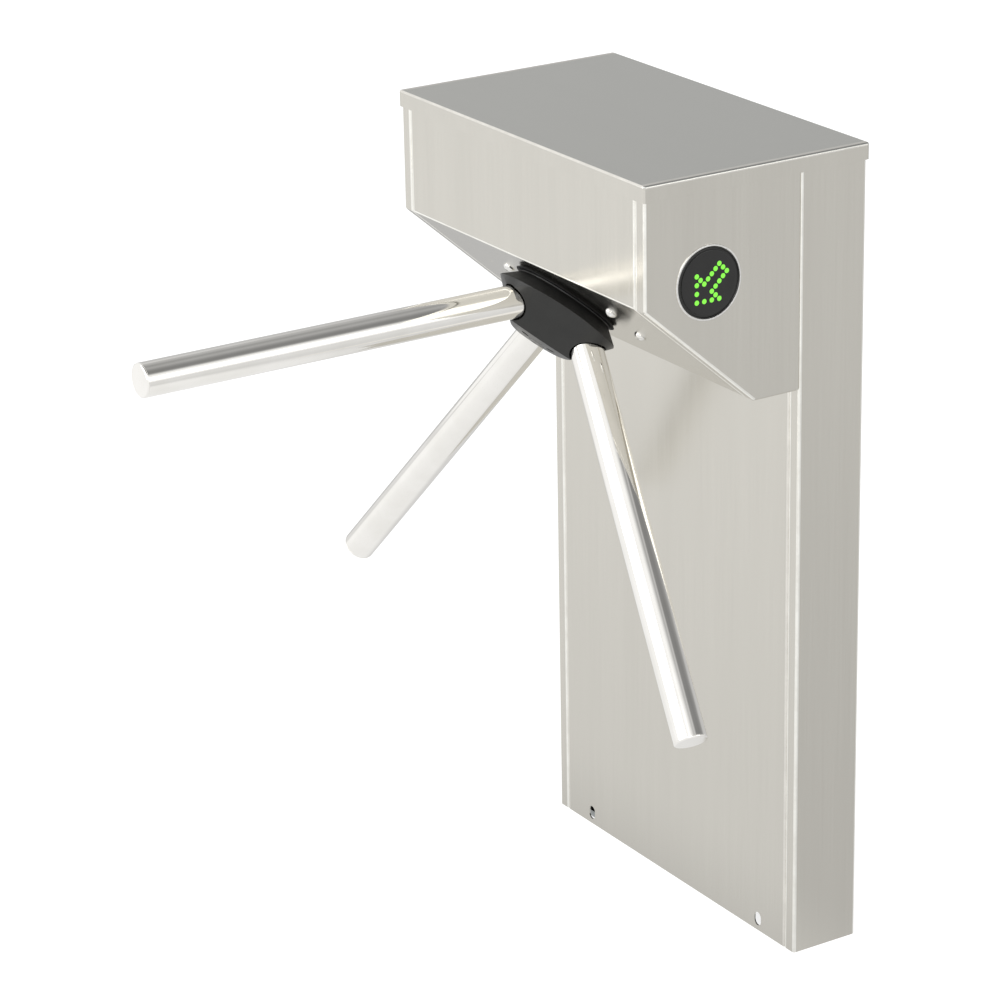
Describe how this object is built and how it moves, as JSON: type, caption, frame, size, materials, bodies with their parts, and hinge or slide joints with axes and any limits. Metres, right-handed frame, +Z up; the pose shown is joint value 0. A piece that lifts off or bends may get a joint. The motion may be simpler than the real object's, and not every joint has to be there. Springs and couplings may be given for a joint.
{
  "type": "tripod turnstile",
  "caption": "Slim floor pedestal with an overhanging wedge head, a black hub on a tilted axis with radiating tube arms, and round arrow indicators.",
  "frame": {"origin": "on the floor at the middle of the column's foot, which is the centre of the anchor holes", "axes": "+Z up, -Y towards the passage that the level arm bars, +X along the way people walk"},
  "size_m": [0.7666, 0.8039, 1],
  "materials": {
    "brushed_sheet": "brushed stainless sheet, satin",
    "lid_sheet": "brushed stainless sheet, satin, seen from above",
    "polished_tube": "polished stainless steel tube",
    "black_hub": "black powder-coated casting, satin",
    "bright_trim": "bright steel",
    "plated_steel": "zinc-plated steel",
    "machined_steel": "machined steel",
    "cast_housing": "cast aluminium",
    "gear_brass": "machined brass",
    "damper_case": "dark painted steel",
    "solenoid_case": "dark painted steel with a wound coil",
    "lamp_housing": "black moulded plastic",
    "lamp_face": "dark smoked acrylic, glossy",
    "lamp_green": "lit green light points",
    "board": "green circuit board with its parts",
    "supply_case": "folded aluminium case"
  },
  "bodies": {
    "pedestal": {"base_frame": "plated_steel", "column_shell": "brushed_sheet", "column_front_panel": "brushed_sheet", "head_cheek_right": "brushed_sheet", "head_cheek_left": "brushed_sheet", "head_front_panel": "brushed_sheet", "head_bolts": "plated_steel", "seal_ring": "black_hub", "underside_screws": "bright_trim", "chassis_plate": "plated_steel", "chassis_bracket_right": "plated_steel", "chassis_bracket_left": "plated_steel", "bearing_housing": "cast_housing", "housing_screws": "plated_steel", "front_bearing": "machined_steel", "rear_bearing": "machined_steel", "damper_bracket": "plated_steel", "damper_body": "damper_case", "pawl_pins": "plated_steel", "pawl_springs": "plated_steel", "solenoid_right": "solenoid_case", "solenoid_left": "solenoid_case", "solenoid_bracket_right": "plated_steel", "solenoid_bracket_left": "plated_steel", "indicator_housing_right": "lamp_housing", "indicator_housing_left": "lamp_housing", "indicator_bezel_right": "bright_trim", "indicator_bezel_left": "bright_trim", "indicator_lens_right": "lamp_face", "indicator_lens_left": "lamp_face", "indicator_leds_right": "lamp_green", "indicator_leds_left": "lamp_green", "board_tray": "plated_steel", "control_board": "board", "power_supply": "supply_case"},
    "rotor": {"rotor_shaft": "machined_steel", "shaft_key": "plated_steel", "hub": "black_hub", "hub_cap": "black_hub", "hub_bolt": "plated_steel", "arm_front": "polished_tube", "arm_right": "polished_tube", "arm_left": "polished_tube", "end_cap_front": "polished_tube", "end_cap_right": "polished_tube", "end_cap_left": "polished_tube", "arm_set_screws": "plated_steel", "damper_gear": "gear_brass", "lock_disc": "machined_steel", "shaft_nut": "plated_steel"},
    "pinion": {"damper_pinion": "machined_steel"},
    "pawl_right": {"pawl_right": "machined_steel"},
    "pawl_left": {"pawl_left": "machined_steel"},
    "plunger_right": {"plunger_right": "bright_trim"},
    "plunger_left": {"plunger_left": "bright_trim"},
    "lid": {"lid": "lid_sheet"}
  },
  "joints": [
    {"name": "rotor_spin", "type": "hinge", "parent": "pedestal", "child": "rotor", "pos_m": [0, -0.18834, 0.80237], "axis": [0, -0.66, -0.7513], "continuous": true},
    {"name": "damper_spin", "type": "hinge", "parent": "pedestal", "child": "pinion", "pos_m": [0, -0.12824, 0.74957], "axis": [0, -0.66, -0.7513], "continuous": true},
    {"name": "pawl_right_swing", "type": "hinge", "parent": "pedestal", "child": "pawl_right", "pos_m": [0.0752, -0.20877, 0.82032], "axis": [0, -0.66, -0.7513], "range_deg": [-10.5, 0], "stiffness_Nm_per_rad": 0.3, "springref_deg": 17.19},
    {"name": "pawl_left_swing", "type": "hinge", "parent": "pedestal", "child": "pawl_left", "pos_m": [-0.0752, -0.20877, 0.82032], "axis": [0, -0.66, -0.7513], "range_deg": [0, 10.5], "stiffness_Nm_per_rad": 0.3, "springref_deg": -17.19},
    {"name": "plunger_right_slide", "type": "slide", "parent": "pedestal", "child": "plunger_right", "axis": [0, -0.7513, 0.66], "range_m": [-0.0055, 0]},
    {"name": "plunger_left_slide", "type": "slide", "parent": "pedestal", "child": "plunger_left", "axis": [0, -0.7513, 0.66], "range_m": [-0.0055, 0]},
    {"name": "lid_lift", "type": "slide", "parent": "pedestal", "child": "lid", "axis": [0, 0, 1], "range_m": [0, 0.12]}
  ],
  "couplings": [
    {"joint": "damper_spin", "follows": "rotor_spin", "ratio": -3},
    {"joint": "plunger_right_slide", "follows": "pawl_right_swing", "m_per_rad": 0.03},
    {"joint": "plunger_left_slide", "follows": "pawl_left_swing", "m_per_rad": -0.03}
  ]
}
